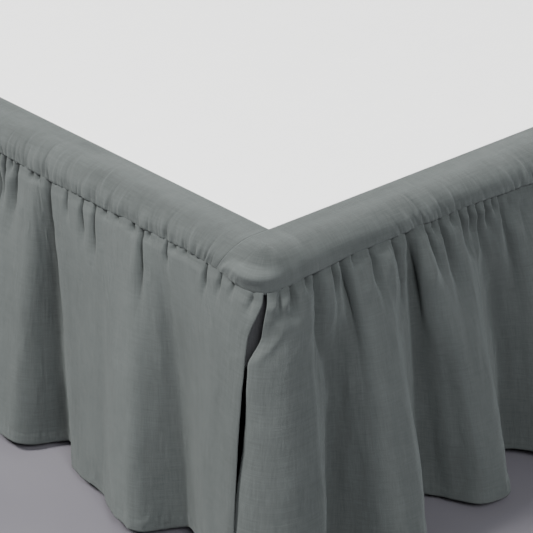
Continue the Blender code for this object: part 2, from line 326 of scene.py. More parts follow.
def make_weave_group():
    """Shade: 1, plus fine and broad slubs, plus clouds. Height: a checker of thread tops, plus
    the fine slubs.

    A slub is noise drawn out along one yarn: few steps a metre along it, many across. The
    checker is sin(x) times sin(y) at the threads' pitch. Noise is 0.5 on average, so a pair of
    them less 1, or one less 0.5, swings about zero.
    """
    group, given, result = new_group(
        "slubby weave",
        [("Cloth", "NodeSocketVector", None), ("Threads", "NodeSocketFloat", 1400.0),
         ("Slubs", "NodeSocketFloat", 0.2), ("Mottle", "NodeSocketFloat", 0.1)],
        [("Shade", "NodeSocketFloat"), ("Height", "NodeSocketFloat")],
    )
    cloth = given.outputs["Cloth"]
    weft = stretched_noise(group, cloth, (FINE_SLUB, FINE_YARN, FINE_SLUB))
    warp = stretched_noise(group, cloth, (FINE_YARN, FINE_SLUB, FINE_SLUB))
    broad_weft = stretched_noise(group, cloth, BROAD_WEFT)
    broad_warp = stretched_noise(group, cloth, BROAD_WARP)
    cloudy = stretched_noise(group, cloth, CLOUDS, detail=4.0)
    slubs = math_node(group, "ADD", weft, warp)
    fine = math_node(group, "SUBTRACT", slubs, 1.0)
    broad = math_node(group, "SUBTRACT", math_node(group, "ADD", broad_weft, broad_warp), 1.0)
    uneven = math_node(group, "MULTIPLY_ADD", broad, BROAD_SHARE, fine)
    streak = math_node(group, "MULTIPLY", uneven, given.outputs["Slubs"])
    patches = math_node(group, "SUBTRACT", cloudy, 0.5)
    cloud = math_node(group, "MULTIPLY", patches, given.outputs["Mottle"])
    shade = math_node(group, "ADD", math_node(group, "ADD", streak, cloud), 1.0)
    parts = group.nodes.new("ShaderNodeSeparateXYZ")
    group.links.new(cloth, parts.inputs[0])
    pitch = given.outputs["Threads"]
    turns = [math_node(group, "MULTIPLY", parts.outputs[axis], pitch) for axis in ("X", "Y")]
    checker = math_node(group, "MULTIPLY", *[math_node(group, "SINE", turn) for turn in turns])
    relief = math_node(group, "MULTIPLY", slubs, SLUB_SHARE)
    height = math_node(group, "MULTIPLY_ADD", checker, CHECKER_SHARE, relief)
    group.links.new(shade, result.inputs["Shade"])
    group.links.new(height, result.inputs["Height"])
    return group


weave_group = make_weave_group()
print("weave group nodes:", len(weave_group.nodes))


# %% A woven finish
def woven(name, colour, threads, slubs, mottle, relief, sheen, tone=0.0):
    """A matt cloth material whose weave follows the piece's UV map.

    Its colour is the dye times (the weave's shade + tone times the "tone" attribute). That
    attribute is painted light and shade: it lightens crests and darkens tucks.
    """
    finish, tree, shader = new_finish(name)
    shader.inputs["Roughness"].default_value = 0.92
    shader.inputs["Specular IOR Level"].default_value = 0.2
    shader.inputs["Sheen Weight"].default_value = sheen
    shader.inputs["Sheen Roughness"].default_value = 0.45
    shader.inputs["Sheen Tint"].default_value = (0.86, 0.95, 0.93, 1.0)
    place = tree.nodes.new("ShaderNodeUVMap")
    place.uv_map = "cloth"
    weave = tree.nodes.new("ShaderNodeGroup")
    weave.node_tree = weave_group
    tree.links.new(place.outputs[0], weave.inputs["Cloth"])
    for label, value in (("Threads", threads), ("Slubs", slubs), ("Mottle", mottle)):
        weave.inputs[label].default_value = value
    # The "tone" attribute is painted light and shade, mixed into the base colour.
    painted_shade_attr = tree.nodes.new("ShaderNodeAttribute")
    painted_shade_attr.attribute_name = "tone"
    factor = math_node(tree, "MULTIPLY_ADD", painted_shade_attr.outputs["Fac"], tone, weave.outputs["Shade"])
    tint = tree.nodes.new("ShaderNodeVectorMath")
    tint.operation = "SCALE"
    tint.inputs[0].default_value = colour
    tree.links.new(factor, tint.inputs["Scale"])
    tree.links.new(tint.outputs[0], shader.inputs["Base Color"])
    add_bump(tree, shader, weave.outputs["Height"], relief, distance=0.0006)
    return finish


linen = woven("washed linen", (0.0715, 0.0795, 0.0775), threads=5200.0, slubs=0.40, mottle=0.26,
              relief=0.60, sheen=0.15, tone=0.28)
cotton = woven("white cotton", (0.90, 0.90, 0.895), threads=8000.0, slubs=0.05, mottle=0.03,
               relief=0.25, sheen=0.0)
# The ticking's dark grey is painted shade: it keeps the split at the foot corner dark where the
# base shows through.
ticking = woven("base ticking painted dark", (0.110, 0.112, 0.118), threads=3200.0, slubs=0.30, mottle=0.12,
                relief=0.60, sheen=0.05)
print("woven finishes:", linen.name, cotton.name, ticking.name)

# %% [markdown]
# ## The line of the gathered seam
# Band and ruffles meet at one seam. It runs round the skirt a little below the top, waves
# slightly, and droops at the foot corners, where the band is stretched over the edge of the base.
# The walls are straight with a small round at each foot corner. A curve object could hold this
# line, but six pieces share it, and each can ask a function for it at its own points.

# %% Seam height
SEAM_KNOT_STEP = 0.110
SEAM_WAVE, WAVE_TURNS = 0.0022, (9.1, 23.0)
SEAM_RIPPLE, RIPPLE_PITCH = 0.0010, 0.028
CORNER_DROOP = 0.006
CORNER_TIP, TIP_WIDTH = 0.008, 0.027
SIDE_PHASE, FOOT_PHASE = 0.4, 1.7


def seam_knots(run):
    """Distances along a wall: close together round the corners, far apart on the straight."""
    corner = np.linspace(0.0, HALF_CORNER, 5)
    far = run - HALF_CORNER if run == FOOT_RUN else run
    straight = np.linspace(HALF_CORNER, far, round((far - HALF_CORNER) / SEAM_KNOT_STEP) + 1)
    knots = np.concatenate([corner[:-1], straight])
    return np.concatenate([knots, run - corner[-2::-1]]) if run == FOOT_RUN else knots


def seam_height(along, run, phase):
    """Height of the seam: the top, less the drop, plus two slow sines and a quick ripple, less
    the droop at the corners, which ends in a blunt tip."""
    knots = seam_knots(run)
    from_corner = np.minimum(knots, run - knots) if run == FOOT_RUN else knots
    wave = np.sin(knots * WAVE_TURNS[0] + phase)
    wave = wave + 0.6 * np.sin(knots * WAVE_TURNS[1] + 2.1 * phase)
    calm = np.clip((from_corner - HALF_CORNER) / SEAM_KNOT_STEP, 0.0, 1.0)
    droop = np.clip(1 - from_corner / (HALF_CORNER + SEAM_KNOT_STEP), 0.0, 1.0)
    height = CLOTH_TOP - SEAM_DROP + SEAM_WAVE * wave * calm - CORNER_DROOP * droop
    nearest = np.minimum(along, run - along) if run == FOOT_RUN else along
    tip = CORNER_TIP * bell(nearest, TIP_WIDTH)
    ripple = SEAM_RIPPLE * noise_line(nearest / RIPPLE_PITCH, seed=31)
    return np.interp(along, knots, height) - tip + ripple


print("seam height mid foot:", round(float(seam_height(FOOT_RUN / 2, FOOT_RUN, FOOT_PHASE)), 4))


# %% Wall lines
SIDE_WRAP = math.radians(128.0)
FOOT_WRAP = math.radians(-6.0)
WRAP_LENGTH = 0.050


def side_line(along):
    """Plan points of the right side seam, and the directions its ruffle stands out in.

    The corner is an eighth of a circle, then the wall runs straight. The directions turn from
    the wall's own towards the foot over the last stretch before the corner.
    """
    angle = np.clip(1 - along / HALF_CORNER, 0.0, 1.0) * math.pi / 4
    x = CORNER_X + CORNER_ROUND * np.cos(angle)
    y = CORNER_Y - CORNER_ROUND * np.sin(angle) + np.maximum(along - HALF_CORNER, 0.0)
    facing = SIDE_WRAP * np.clip(1 - along / WRAP_LENGTH, 0.0, 1.0) ** 1.5
    return np.stack([x, y], -1), np.stack([np.cos(facing), -np.sin(facing)], -1)


def foot_line(along):
    """The same for the foot seam, from the right corner to the left one, with its eighth of a
    circle at each end."""
    near = np.clip(1 - along / HALF_CORNER, 0.0, 1.0)
    far = np.clip(1 - (FOOT_RUN - along) / HALF_CORNER, 0.0, 1.0)
    angle = (near - far) * math.pi / 4
    x = CORNER_X - np.clip(along - HALF_CORNER, 0.0, 2 * CORNER_X) + CORNER_ROUND * np.sin(angle)
    y = CORNER_Y - CORNER_ROUND * np.cos(angle)
    facing = (near - far) * FOOT_WRAP
    return np.stack([x, y], -1), np.stack([np.sin(facing), -np.cos(facing)], -1)


print("foot seam starts at", np.round(foot_line(np.array([0.0]))[0][0], 3))

# %% [markdown]
# ## Main folds
# A gathered ruffle hangs in broad uneven folds. A cloth simulation would make folds too, but it
# lets them fall where they like, and these have set places near the corner. So each row below is
# a crest or a trough: where it starts at the seam, where it reaches the hem, how far the hem
# stands out there, and how broad the crest is. Past the rows, they go on in uneven steps.

# %% Fold tables
Fold = namedtuple("Fold", "seam_at hem_at out breadth")
SIDE_FOLDS = (
    Fold(0.002, 0.002, 0.034, 1.0),
    Fold(0.033, 0.032, 0.049, 1.2),
    Fold(0.083, 0.090, 0.000, 1.0),
    Fold(0.130, 0.146, 0.084, 1.3),
    Fold(0.196, 0.240, -0.004, 1.0),
    Fold(0.243, 0.291, 0.072, 1.5),
    Fold(0.318, 0.380, -0.002, 1.0),
    Fold(0.405, 0.448, 0.068, 1.4),
)
FOOT_FOLDS = (
    Fold(0.002, 0.008, 0.033, 1.0),
    Fold(0.050, 0.046, 0.031, 1.1),
    Fold(0.150, 0.121, -0.001, 1.0),
    Fold(0.212, 0.166, 0.064, 1.35),
    Fold(0.272, 0.240, 0.036, 1.0),
    Fold(0.340, 0.297, 0.027, 1.2),
    Fold(0.378, 0.366, -0.010, 1.0),
    Fold(0.410, 0.424, 0.050, 2.2),
)
FAR_FOLDS = (
    Fold(0.002, 0.002, 0.034, 1.0),
    Fold(0.036, 0.042, 0.056, 1.2),
)
PITCH_RANGE = (0.115, 0.160)
CREST_RANGE = (0.052, 0.086)
TROUGH_RANGE = (-0.010, 0.010)
TROUGH_PLACE = (0.42, 0.58)
DRIFT = 0.012
BREADTH_RANGE = (1.0, 1.5)
END_OUT = 0.022


def spread_folds(rows, end, seed):
    """The given rows, then uneven crests and troughs in turn up to the end of the panel."""
    draw = random.Random(seed)
    left = end - rows[-1].hem_at
    pitches = [draw.uniform(*PITCH_RANGE) for _ in range(round(left / (sum(PITCH_RANGE) / 2)))]
    crest = rows[-1].hem_at
    folds = list(rows)
    for pitch in pitches:
        pitch *= left / sum(pitches)
        trough = crest + pitch * draw.uniform(*TROUGH_PLACE)
        crest += pitch
        shift, depth = draw.uniform(-DRIFT, DRIFT), draw.uniform(*TROUGH_RANGE)
        folds.append(Fold(trough + shift, trough, depth, 1.0))
        shift, reach = draw.uniform(-DRIFT, DRIFT), draw.uniform(*CREST_RANGE)
        folds.append(Fold(crest + shift, crest, reach, draw.uniform(*BREADTH_RANGE)))
    folds[-1] = Fold(end, end, END_OUT, 1.0)
    return folds


# %% The curve through the folds
FOLD_START = 0.015


def growth(share):
    """How much of a fold has opened: a parabola, quick under the seam, slower lower down."""
    below = np.clip((share - FOLD_START) / (1 - FOLD_START), 0.0, 1.0)
    return below * (1.35 - 0.35 * below)


def fold_line(folds, share, place):
    """(along the wall, out from the wall) for every share down the ruffle and place in the table.

    Half cosine waves run from row to row, drawn out by the breadth of the crest. Along the wall,
    a point moves from its place at the seam to its place at the hem as the fold opens.
    """
    seam, hem, reach, breadth = np.array(folds).T
    opened = growth(share)[:, None]
    row = np.minimum(place.astype(int), len(folds) - 2)
    t = place - row
    rise = reach[row + 1] - reach[row]
    t_broad = np.where(rise > 0, 1 - (1 - t) ** breadth[row + 1], t ** breadth[row])
    out = (reach[row] + rise * (1 - np.cos(np.pi * t_broad)) / 2) * opened
    at_seam = seam[row] + (seam[row + 1] - seam[row]) * t
    at_hem = hem[row] + (hem[row + 1] - hem[row]) * t
    return at_seam + (at_hem - at_seam) * opened, out


side_right_folds = spread_folds(SIDE_FOLDS, SIDE_RUN, seed=11)
side_left_folds = spread_folds(FAR_FOLDS, SIDE_RUN, seed=23)
foot_folds = spread_folds(FOOT_FOLDS, FOOT_RUN - FOOT_FOLDS[0].seam_at, seed=5)
print("rows of folds:", len(side_right_folds), len(side_left_folds), len(foot_folds))

# %% [markdown]
# ## Tucks under the seam
# The gathering thread draws more cloth into the seam than the seam is long, so it sinks into
# narrow tucks between flat stretches. Each tuck is a slit a finger wide at most, deep and dark at
# the seam, and it opens and dies out lower down. A few run far down the ruffle. They could be
# sculpted one by one. A table is easier to correct, and one formula shapes every row of it. The
# first rows are the ones that show at the corner, and random ones follow.

# %% Tuck tables
Tuck = namedtuple("Tuck", "seam_at depth length width")
SIDE_TUCKS = (
    Tuck(0.016, 0.0050, 0.036, 0.0035),
    Tuck(0.032, 0.0095, 0.040, 0.0045),
    Tuck(0.053, 0.0080, 0.022, 0.0040),
    Tuck(0.067, 0.0120, 0.170, 0.0085),
    Tuck(0.082, -0.0070, 0.130, 0.0080),
    Tuck(0.091, 0.0070, 0.050, 0.0045),
    Tuck(0.105, 0.0125, 0.170, 0.0065),
    Tuck(0.120, 0.0050, 0.016, 0.0040),
    Tuck(0.147, 0.0085, 0.090, 0.0055),
    Tuck(0.165, -0.0060, 0.100, 0.0090),
    Tuck(0.181, 0.0095, 0.130, 0.0055),
    Tuck(0.205, 0.0125, 0.240, 0.0090),
    Tuck(0.219, -0.0120, 0.230, 0.0100),
    Tuck(0.232, 0.0085, 0.100, 0.0050),
    Tuck(0.243, 0.0070, 0.024, 0.0040),
    Tuck(0.255, 0.0110, 0.140, 0.0055),
    Tuck(0.272, 0.0070, 0.022, 0.0040),
    Tuck(0.287, 0.0100, 0.080, 0.0048),
    Tuck(0.301, 0.0090, 0.060, 0.0045),
    Tuck(0.314, 0.0090, 0.100, 0.0048),
    Tuck(0.328, 0.0100, 0.060, 0.0045),
    Tuck(0.340, 0.0070, 0.030, 0.0040),
    Tuck(0.352, 0.0110, 0.160, 0.0060),
    Tuck(0.367, 0.0080, 0.050, 0.0045),
    Tuck(0.381, 0.0100, 0.110, 0.0050),
    Tuck(0.396, 0.0080, 0.050, 0.0045),
)
FOOT_TUCKS = (
    Tuck(0.014, 0.0040, 0.030, 0.0040),
    Tuck(0.042, 0.0045, 0.024, 0.0026),
    Tuck(0.062, 0.0050, 0.034, 0.0026),
    Tuck(0.086, 0.0060, 0.048, 0.0028),
    Tuck(0.122, 0.0050, 0.010, 0.0035),
    Tuck(0.140, 0.0060, 0.010, 0.0035),
    Tuck(0.153, 0.0060, 0.036, 0.0028),
    Tuck(0.184, 0.0050, 0.012, 0.0035),
    Tuck(0.196, 0.0105, 0.125, 0.0050),
    Tuck(0.212, 0.0070, 0.016, 0.0038),
    Tuck(0.240, 0.0040, 0.010, 0.0035),
    Tuck(0.262, 0.0040, 0.012, 0.0035),
    Tuck(0.281, 0.0080, 0.080, 0.0034),
    Tuck(0.304, 0.0085, 0.066, 0.0034),
    Tuck(0.334, 0.0055, 0.044, 0.0030),
    Tuck(0.370, 0.0120, 0.260, 0.0085),
    Tuck(0.389, 0.0050, 0.012, 0.0035),
    Tuck(0.402, 0.0060, 0.014, 0.0035),
    Tuck(0.433, 0.0120, 0.110, 0.0070),
    Tuck(0.444, 0.0060, 0.024, 0.0038),
    Tuck(0.458, 0.0120, 0.075, 0.0055),
)
TUCK_STEP = 0.0150
TUCK_KINDS = (
    (0.55, (0.0050, 0.0090), (0.012, 0.035), (0.0038, 0.0045)),
    (0.33, (0.0080, 0.0110), (0.040, 0.110), (0.0045, 0.0058)),
    (0.12, (0.0100, 0.0125), (0.120, 0.240), (0.0065, 0.0090)),
)


def spread_tucks(rows, run, seed):
    """The given rows, then random tucks up to the end: mostly small, some medium, a few deep."""
    draw = np.random.default_rng(seed)
    start = rows[-1].seam_at if rows else 0.0
    count = int((run - start) / TUCK_STEP) - 1
    places = start + TUCK_STEP * (1 + np.arange(count) + draw.uniform(-0.35, 0.35, count))
    chosen = draw.choice(len(TUCK_KINDS), count, p=[kind[0] for kind in TUCK_KINDS])
    ranges = [TUCK_KINDS[kind][1:] for kind in chosen]
    return list(rows) + [
        Tuck(at, *(draw.uniform(*limits) for limits in sizes)) for at, sizes in zip(places, ranges)
    ]


# %% The shape of the tucks
TUCK_START, TUCK_GAIN = 0.62, 1.03
TUCK_DRAW = 0.6


def tuck_fields(tucks, seam_along, down):
    """(sunk, drawn) for every row and column of a ruffle.

    sunk is how deep the cloth lies in its tucks: for each tuck its depth, times a bell curve
    across it, times a length curve that is half open at the seam, full a quarter of the way and
    nothing at its end. A ridge, of negative depth, starts flat. drawn is the sideways pull
    that closes the tuck's mouth: the slope of the same bell, times TUCK_DRAW. A tuck starts at
    TUCK_START of its width in the table, and gains TUCK_GAIN of it on its way down.
    """
    sunk = np.zeros((len(down), len(seam_along)))
    drawn = np.zeros_like(sunk)
    for tuck in tucks:
        near = np.flatnonzero(np.abs(seam_along - tuck.seam_at) < 5 * tuck.width)
        if len(near) == 0:
            continue
        t = np.clip(down / tuck.length, 0.0, 1.0)[:, None]
        width = tuck.width * (TUCK_START + TUCK_GAIN * ease(t * 1.3))
        mouth = 0.5 if tuck.depth > 0 else 0.0
        open_share = (mouth + (1 - mouth) * ease(t * 4)) * (1 - t * t) ** 2
        x = (seam_along[near] - tuck.seam_at)[None, :] / width
        sunk[:, near] += tuck.depth * open_share * bell(x)
        drawn[:, near] -= TUCK_DRAW * np.sign(tuck.depth) * width * x * bell(x) * open_share
    return sunk, drawn


side_right_tucks = spread_tucks(SIDE_TUCKS, SIDE_RUN, seed=71)
side_left_tucks = spread_tucks((), SIDE_RUN, seed=72)
foot_tucks = spread_tucks(FOOT_TUCKS, FOOT_RUN, seed=73)
print("tucks:", len(side_right_tucks), len(side_left_tucks), len(foot_tucks))

# %% [markdown]
# ## The ruffles
# Each ruffle is one sheet. Its rows are close together under the seam and at the hem, where the
# detail is fine. A column is one thread that runs down the cloth: it keeps its length, so where a
# fold carries it outwards it hangs less far down, which lifts the hem at the crests. Relief that
# is added along the sheet's own normals gives what a texture's bump can't: real tucks and
# crumples, which also show in the outline.

# %% Rows and columns of a ruffle
SEAM_ALLOWANCE = 0.004


def ruffle_rows():
    """Distances down the ruffle: steps of 2 mm at the seam and the hem, 4 mm below the seam and
    11 mm in between."""
    top = np.linspace(-SEAM_ALLOWANCE, 0.016, 11)
    upper = np.linspace(0.016, 0.080, 18)[1:]
    middle = np.linspace(0.080, RUFFLE_LENGTH - 0.020, 25)[1:]
    hem = np.linspace(RUFFLE_LENGTH - 0.020, RUFFLE_LENGTH, 10)[1:]
    return np.concatenate([top, upper, middle, hem])


def ruffle_columns(folds, fine_step, coarse_step, fine_length):
    """(place in the fold table, distance along the cut cloth) of every column.

    The folds' own curve at the hem is the cut cloth's length. Columns stand close together on
    the first stretch from the corner and further apart beyond it.
    """
    fine = np.linspace(0.0, len(folds) - 1, 20000)
    along, out = fold_line(folds, np.array([1.0]), fine)
    length = running_length(np.stack([along[0], out[0]], -1))
    cut = length[-1]
    near = np.arange(0.0, min(fine_length, cut), fine_step)
    far = np.linspace(near[-1], cut, int((cut - near[-1]) / coarse_step) + 2)[1:]
    cloth = np.concatenate([near, far])
    return np.interp(cloth, length, fine), cloth


# %% A panel's pattern
# edge_pull is how far the free edge is drawn along the wall, and edge_curl how far it curls out.
# sag lowers the cloth at sag_at. steps are the two column steps and the length of the first.
Panel = namedtuple(
    "Panel", "folds tucks line run phase seed slack puffed edge_pull edge_curl sag_at sag steps"
)
right_panel = Panel(
    side_right_folds, side_right_tucks, side_line, SIDE_RUN, SIDE_PHASE, seed=100, slack=0.0026,
    puffed=0.0048, edge_pull=0.0, edge_curl=0.011, sag_at=0.300, sag=0.012,
    steps=(0.00125, 0.0070, 0.62),
)
left_panel = right_panel._replace(
    folds=side_left_folds, tucks=side_left_tucks, seed=200, slack=0.0030, sag=0.0,
    steps=(0.0055, 0.0055, 0.50),
)
foot_panel = Panel(
    foot_folds, foot_tucks, foot_line, FOOT_RUN, FOOT_PHASE, seed=300, slack=0.0011,
    puffed=0.0032, edge_pull=0.0110, edge_curl=0.0, sag_at=0.0, sag=0.0,
    steps=(0.0010, 0.0050, 0.56),
)
print("slack, mm:", [1000 * panel.slack for panel in (right_panel, left_panel, foot_panel)])

# %% Relief of a ruffle
HEM_DEPTH = 0.013
HEM_FLUTTER, HEM_PUCKER, HEM_LEDGE = 0.0034, 0.0004, 0.0005
FINE_CREASE = 0.0006
CRUMPLE = 0.0009


def free_edge(panel, cloth, down):
    """(along the wall, outwards): how the free edge at the corner moves, on every row and column.

    The pull sets in under the seam and eases off lower down. The curl sets in below it, with a
    shallow waist half way. Bell curves across the cloth end both a few centimetres in.
    """
    pull = panel.edge_pull * ease(down / 0.055) * (1 - 0.65 * ease((down - 0.10) / 0.25))
    curl = panel.edge_curl * (ease((down - 0.044) / 0.038) - 0.35 * bell(down - 0.17, 0.05))
    return pull[:, None] * bell(cloth, 0.040), curl[:, None] * bell(cloth, 0.014)


def cloth_relief(panel, u, v, sunk, puff):
    """How far the cloth stands off its folds, u across the cut cloth and v down it.

    It is puffed up between the tucks and sunk in them. Added to that are noise of three sizes
    and long creases, as shares of the panel's slack, then fine creases and crumples, which are
    strongest near the seam. Each sets in a little way below the seam.
    """
    slack, seed = panel.slack, panel.seed
    lift = puff * (1 - np.clip(sunk / 0.006, 0.0, 1.0)) - sunk
    sway = 0.6 * noise_line(v / 0.12, seed + 1)
    lift = lift + slack * ease(v / 0.10) * noise_line(u / 0.042 + sway, seed + 2)
    lift = lift + 0.6 * slack * ease(v / 0.04) * noise_plane(u / 0.022, v / 0.13, seed + 3)
    lift = lift + 0.12 * slack * ease(v / 0.01) * noise_plane(u / 0.009, v / 0.030, seed + 4)
    lift = lift + 0.3 * slack * creases(u / 0.060 + v / 0.11, v / 0.075, seed + 5) * ease(v / 0.04)
    slanted = creases(u / 0.034 + v / 0.050, v / 0.046 - u / 0.060, seed + 10)
    lift = lift + FINE_CREASE * slanted * ease(v / 0.05)
    crumple = noise_plane(u / 0.013 + v / 0.035, v / 0.026, seed + 9)
    return lift + CRUMPLE * crumple * ease(v / 0.010) * (0.35 + 0.65 * bell(v, 0.09))


def hem_relief(u, to_hem, seed):
    """The hem's flutter, its stitched puckers, and the ledge where the cloth is doubled."""
    flutter = HEM_FLUTTER * bell(to_hem, 0.045) * noise_line(u / 0.030, seed + 6)
    pucker = HEM_PUCKER * bell(to_hem - HEM_DEPTH, 0.006) * noise_line(u / 0.0045, seed + 7)
    return flutter + pucker + HEM_LEDGE * ease((HEM_DEPTH + 0.001 - to_hem) / 0.003)


# %% Hang of a ruffle
HEM_WAVE = 0.0012
SAG_WIDTH = 0.055
FLOOR_GAP = 0.0030


def hang(panel, rows, seam_places, along, broad, cloth):
    """Height of every point.

    A thread's step down is the square root of its length squared less what it travels in plan
    squared. The sag and the hem's wave are added, and a thread that would touch the floor is
    shortened evenly to end just clear of it.
    """
    share = np.maximum(rows, 0.0) / RUFFLE_LENGTH
    step = np.diff(rows)[:, None]
    sideways = np.linalg.norm(np.diff(broad, axis=0), axis=-1)
    sideways[rows[1:] <= 0.0] = 0.0
    drop = np.sqrt(step**2 - np.minimum(sideways, 0.9 * step) ** 2)
    fallen = np.concatenate([np.zeros((1, len(cloth))), np.cumsum(drop, axis=0)])
    height = seam_height(seam_places, panel.run, panel.phase) + SEAM_ALLOWANCE - fallen
    sag = panel.sag * ease(share * 1.1 - 0.1)[:, None] * bell(along - panel.sag_at, SAG_WIDTH)
    wave = HEM_WAVE * ease(share)[:, None] * noise_line(cloth / 0.050, panel.seed + 8)
    height = height - sag + wave
    return height + np.maximum(FLOOR_GAP - height[-1:], 0.0) * share[:, None]


# %% The ruffle surface
SEAM_TUCK_IN = 0.0022


def across_normals(points, facing):
    """Unit normals of curves in plan: the curve's direction turned a quarter, on facing's side."""
    tangent = np.gradient(points, axis=1)
    tangent /= np.maximum(np.linalg.norm(tangent, axis=-1, keepdims=True), 1e-9)
    normal = np.stack([tangent[..., 1], -tangent[..., 0]], -1)
    return normal * np.sign(np.sum(normal * facing, axis=-1, keepdims=True))


def ruffle_surface(panel, place, cloth):
    """(points, flat places, tone) of one ruffle.

    In plan: seam line, plus the fold's reach in its facing, plus the relief along the fold
    curve's own normal, less the turn inwards of the seam allowance. In height: the hang of its
    threads, which the fine relief leaves as it is. The tone is painted light and shade: half from
    puffs and tucks, painted light on puffs and painted shade in tucks, half from how far the fold
    stands out, painted light on crests and painted shade in troughs.
    """
    rows = ruffle_rows()
    down = np.maximum(rows, 0.0)
    share = down / RUFFLE_LENGTH
    along, out = fold_line(panel.folds, share, place)
    seam_places = along[:1]
    sunk, drawn = tuck_fields(panel.tucks, along[0], down)
    broad, facing = panel.line(along)
    broad = broad + facing * out[..., None]
    pull, curl = free_edge(panel, cloth, down)
    along, out = along + pull, out + curl
    height = hang(panel, rows, seam_places, along, broad, cloth)
    plan, facing = panel.line(along + drawn)
    plan = plan + facing * out[..., None]
    normal = across_normals(plan, facing)
    u, v = cloth[None, :], down[:, None]
    puff = panel.puffed * ease(v / 0.013) * bell(v, 0.10)
    relief = cloth_relief(panel, u, v, sunk, puff) + hem_relief(u, RUFFLE_LENGTH - v, panel.seed)
    tuck_in = 1 - ease((rows + SEAM_ALLOWANCE) / (SEAM_ALLOWANCE + 0.002))
    relief = relief - SEAM_TUCK_IN * tuck_in[:, None]
    points = np.concatenate([plan + normal * relief[..., None], height[..., None]], -1)
    flat = np.stack(np.broadcast_arrays(u, RUFFLE_LENGTH - v), -1)
    # Painted light and shade for the tone: lighter on puffs and crests, darker in tucks and
    # troughs.
    stands = (out / np.maximum(growth(share), 0.05)[:, None] - 0.036) / 0.036
    shaded = np.clip(puff / panel.puffed - sunk / 0.005, -2.0, 1.0)
    tone = 0.5 * shaded + 0.5 * np.clip(stands, -1.0, 1.0) * ease(v / 0.12)
    return points, flat, tone


# %% Sew the ruffles
def add_ruffle(node, panel, mirror=False):
    """One ruffle, built from its panel and given a cloth's thickness."""
    place, cloth = ruffle_columns(panel.folds, *panel.steps)
    points, flat, tone = ruffle_surface(panel, place, cloth)
    if mirror:
        points = points * (-1, 1, 1)
    flip = (panel.line is side_line) != mirror
    ruffle = add_piece(sheet_mesh(node + "_cloth", points, flat, tone, flip), linen, "linen", node)
    thicken(ruffle)


add_ruffle("ruffle_side_right", right_panel)
add_ruffle("ruffle_side_left", left_panel, mirror=True)
add_ruffle("ruffle_foot", foot_panel)

# %% [markdown]
# ## Border band
# The band is a flat strip that rolls over the edge. The side strips run on round the foot
# corners, and the foot strip butts against them. A bevelled edge would give the same roll, but
# not the cloth's true widths, so each point is found by its distances across and along the flat
# strip. The gathering pulls short slanting puckers into the band above its seam, strong along
# the foot and in patches along the sides.

# %% Roll over the edge
STRETCH_START = 0.3 * ROLL_DOWN


def roll(distance):
    """(how far out, how far down) cloth lies this far past the corner's centre line: flat, then
    a quarter of an ellipse, then straight down."""
    turn = np.clip((distance - ROLL_START) / (ROLL_END - ROLL_START), 0.0, 1.0) * math.pi / 2
    out = np.minimum(distance, ROLL_START) + ROLL_OUT * np.sin(turn)
    return out, ROLL_DOWN * (1 - np.cos(turn)) + np.maximum(distance - ROLL_END, 0.0)


def over_corner(across, beyond):
    """Plan offset from the corner's centre, drop, and distance from the corner's middle.

    The square patch past the centre is spread over a quarter disc, ring by ring.
    """
    reach = np.maximum(np.maximum(across, beyond), 1e-9)
    a, b = np.maximum(across, 0.0), np.maximum(beyond, 0.0)
    angle = np.where(a >= b, b / reach, 2 - a / reach) * math.pi / 4
    out, down = roll(reach)
    x = np.where(across > 0, out * np.cos(angle), across)
    y = np.where(beyond > 0, out * np.sin(angle), beyond)
    down = np.where(reach > 1e-6, down, 0.0)
    straight = -np.minimum(np.minimum(across, beyond), 0.0)
    return x, -y, down, HALF_CORNER * np.abs(angle / (math.pi / 4) - 1) + straight


def follow_seam(down, height):
    """The drop again, with the lower part of the band stretched to end at this seam height."""
    share = np.clip((down - STRETCH_START) / (SEAM_DROP - STRETCH_START), 0.0, 1.0)
    return down + share * (CLOTH_TOP - height - SEAM_DROP)


print("roll ends, mm out and down:", [round(1000 * float(v), 1) for v in roll(ROLL_END)])

# %% Puckers and relief of a band
PUCKER_STEP = 0.0042
PUCKER_HEIGHTS, PUCKER_WIDTHS = (0.0004, 0.0013), (0.0013, 0.0028)
PUCKER_LENGTHS, PUCKER_LEAN = (0.010, 0.032), 0.25
PUCKER_STRENGTH = 1.8
SLACK_HEIGHT, FINE_HEIGHT = 0.0008, 0.00025
EDGE_IN, EDGE_WIDTH = 0.0012, 0.0016
BUTT_ALONG = HALF_CORNER + BAND_ON_TOP - CORNER_ROUND
CORNER_FULL = 0.0046


def pucker_field(along, to_seam, run, lean, seed):
    """Fine puckers above a gathered seam: many bells across it, of either sign, each with its own
    height, width, length and slant. lean is the mean slant."""
    draw = np.random.default_rng(seed)
    count = int(run / PUCKER_STEP)
    places = PUCKER_STEP * (np.arange(count) + draw.uniform(-0.4, 0.4, count))
    heights = draw.uniform(*PUCKER_HEIGHTS, count) * draw.choice((-1.0, 1.0), count)
    widths, lengths = draw.uniform(*PUCKER_WIDTHS, count), draw.uniform(*PUCKER_LENGTHS, count)
    slants = lean + draw.uniform(-PUCKER_LEAN, PUCKER_LEAN, count)
    relief = np.zeros(along.shape)
    for place, height, width, length, slant in zip(places, heights, widths, lengths, slants):
        x = (along - place - slant * to_seam) / width
        near = np.abs(x) < 3
        relief[near] += height * bell(x[near]) * bell(to_seam[near], length)
    return relief * (0.4 + 0.6 * ease(to_seam / 0.005))


def side_strength(along, on_foot):
    """How strong a side band's puckers are: even on its foot part, in patches along the side."""
    patches = 0.10 + 0.9 * ease((along - 0.17) / 0.03) * (1 - 0.75 * ease((along - 0.27) / 0.03))
    patches = patches + 0.65 * ease((along - 0.34) / 0.04)
    return np.where(on_foot, 0.8 * ease((along - 0.016) / 0.014), patches)


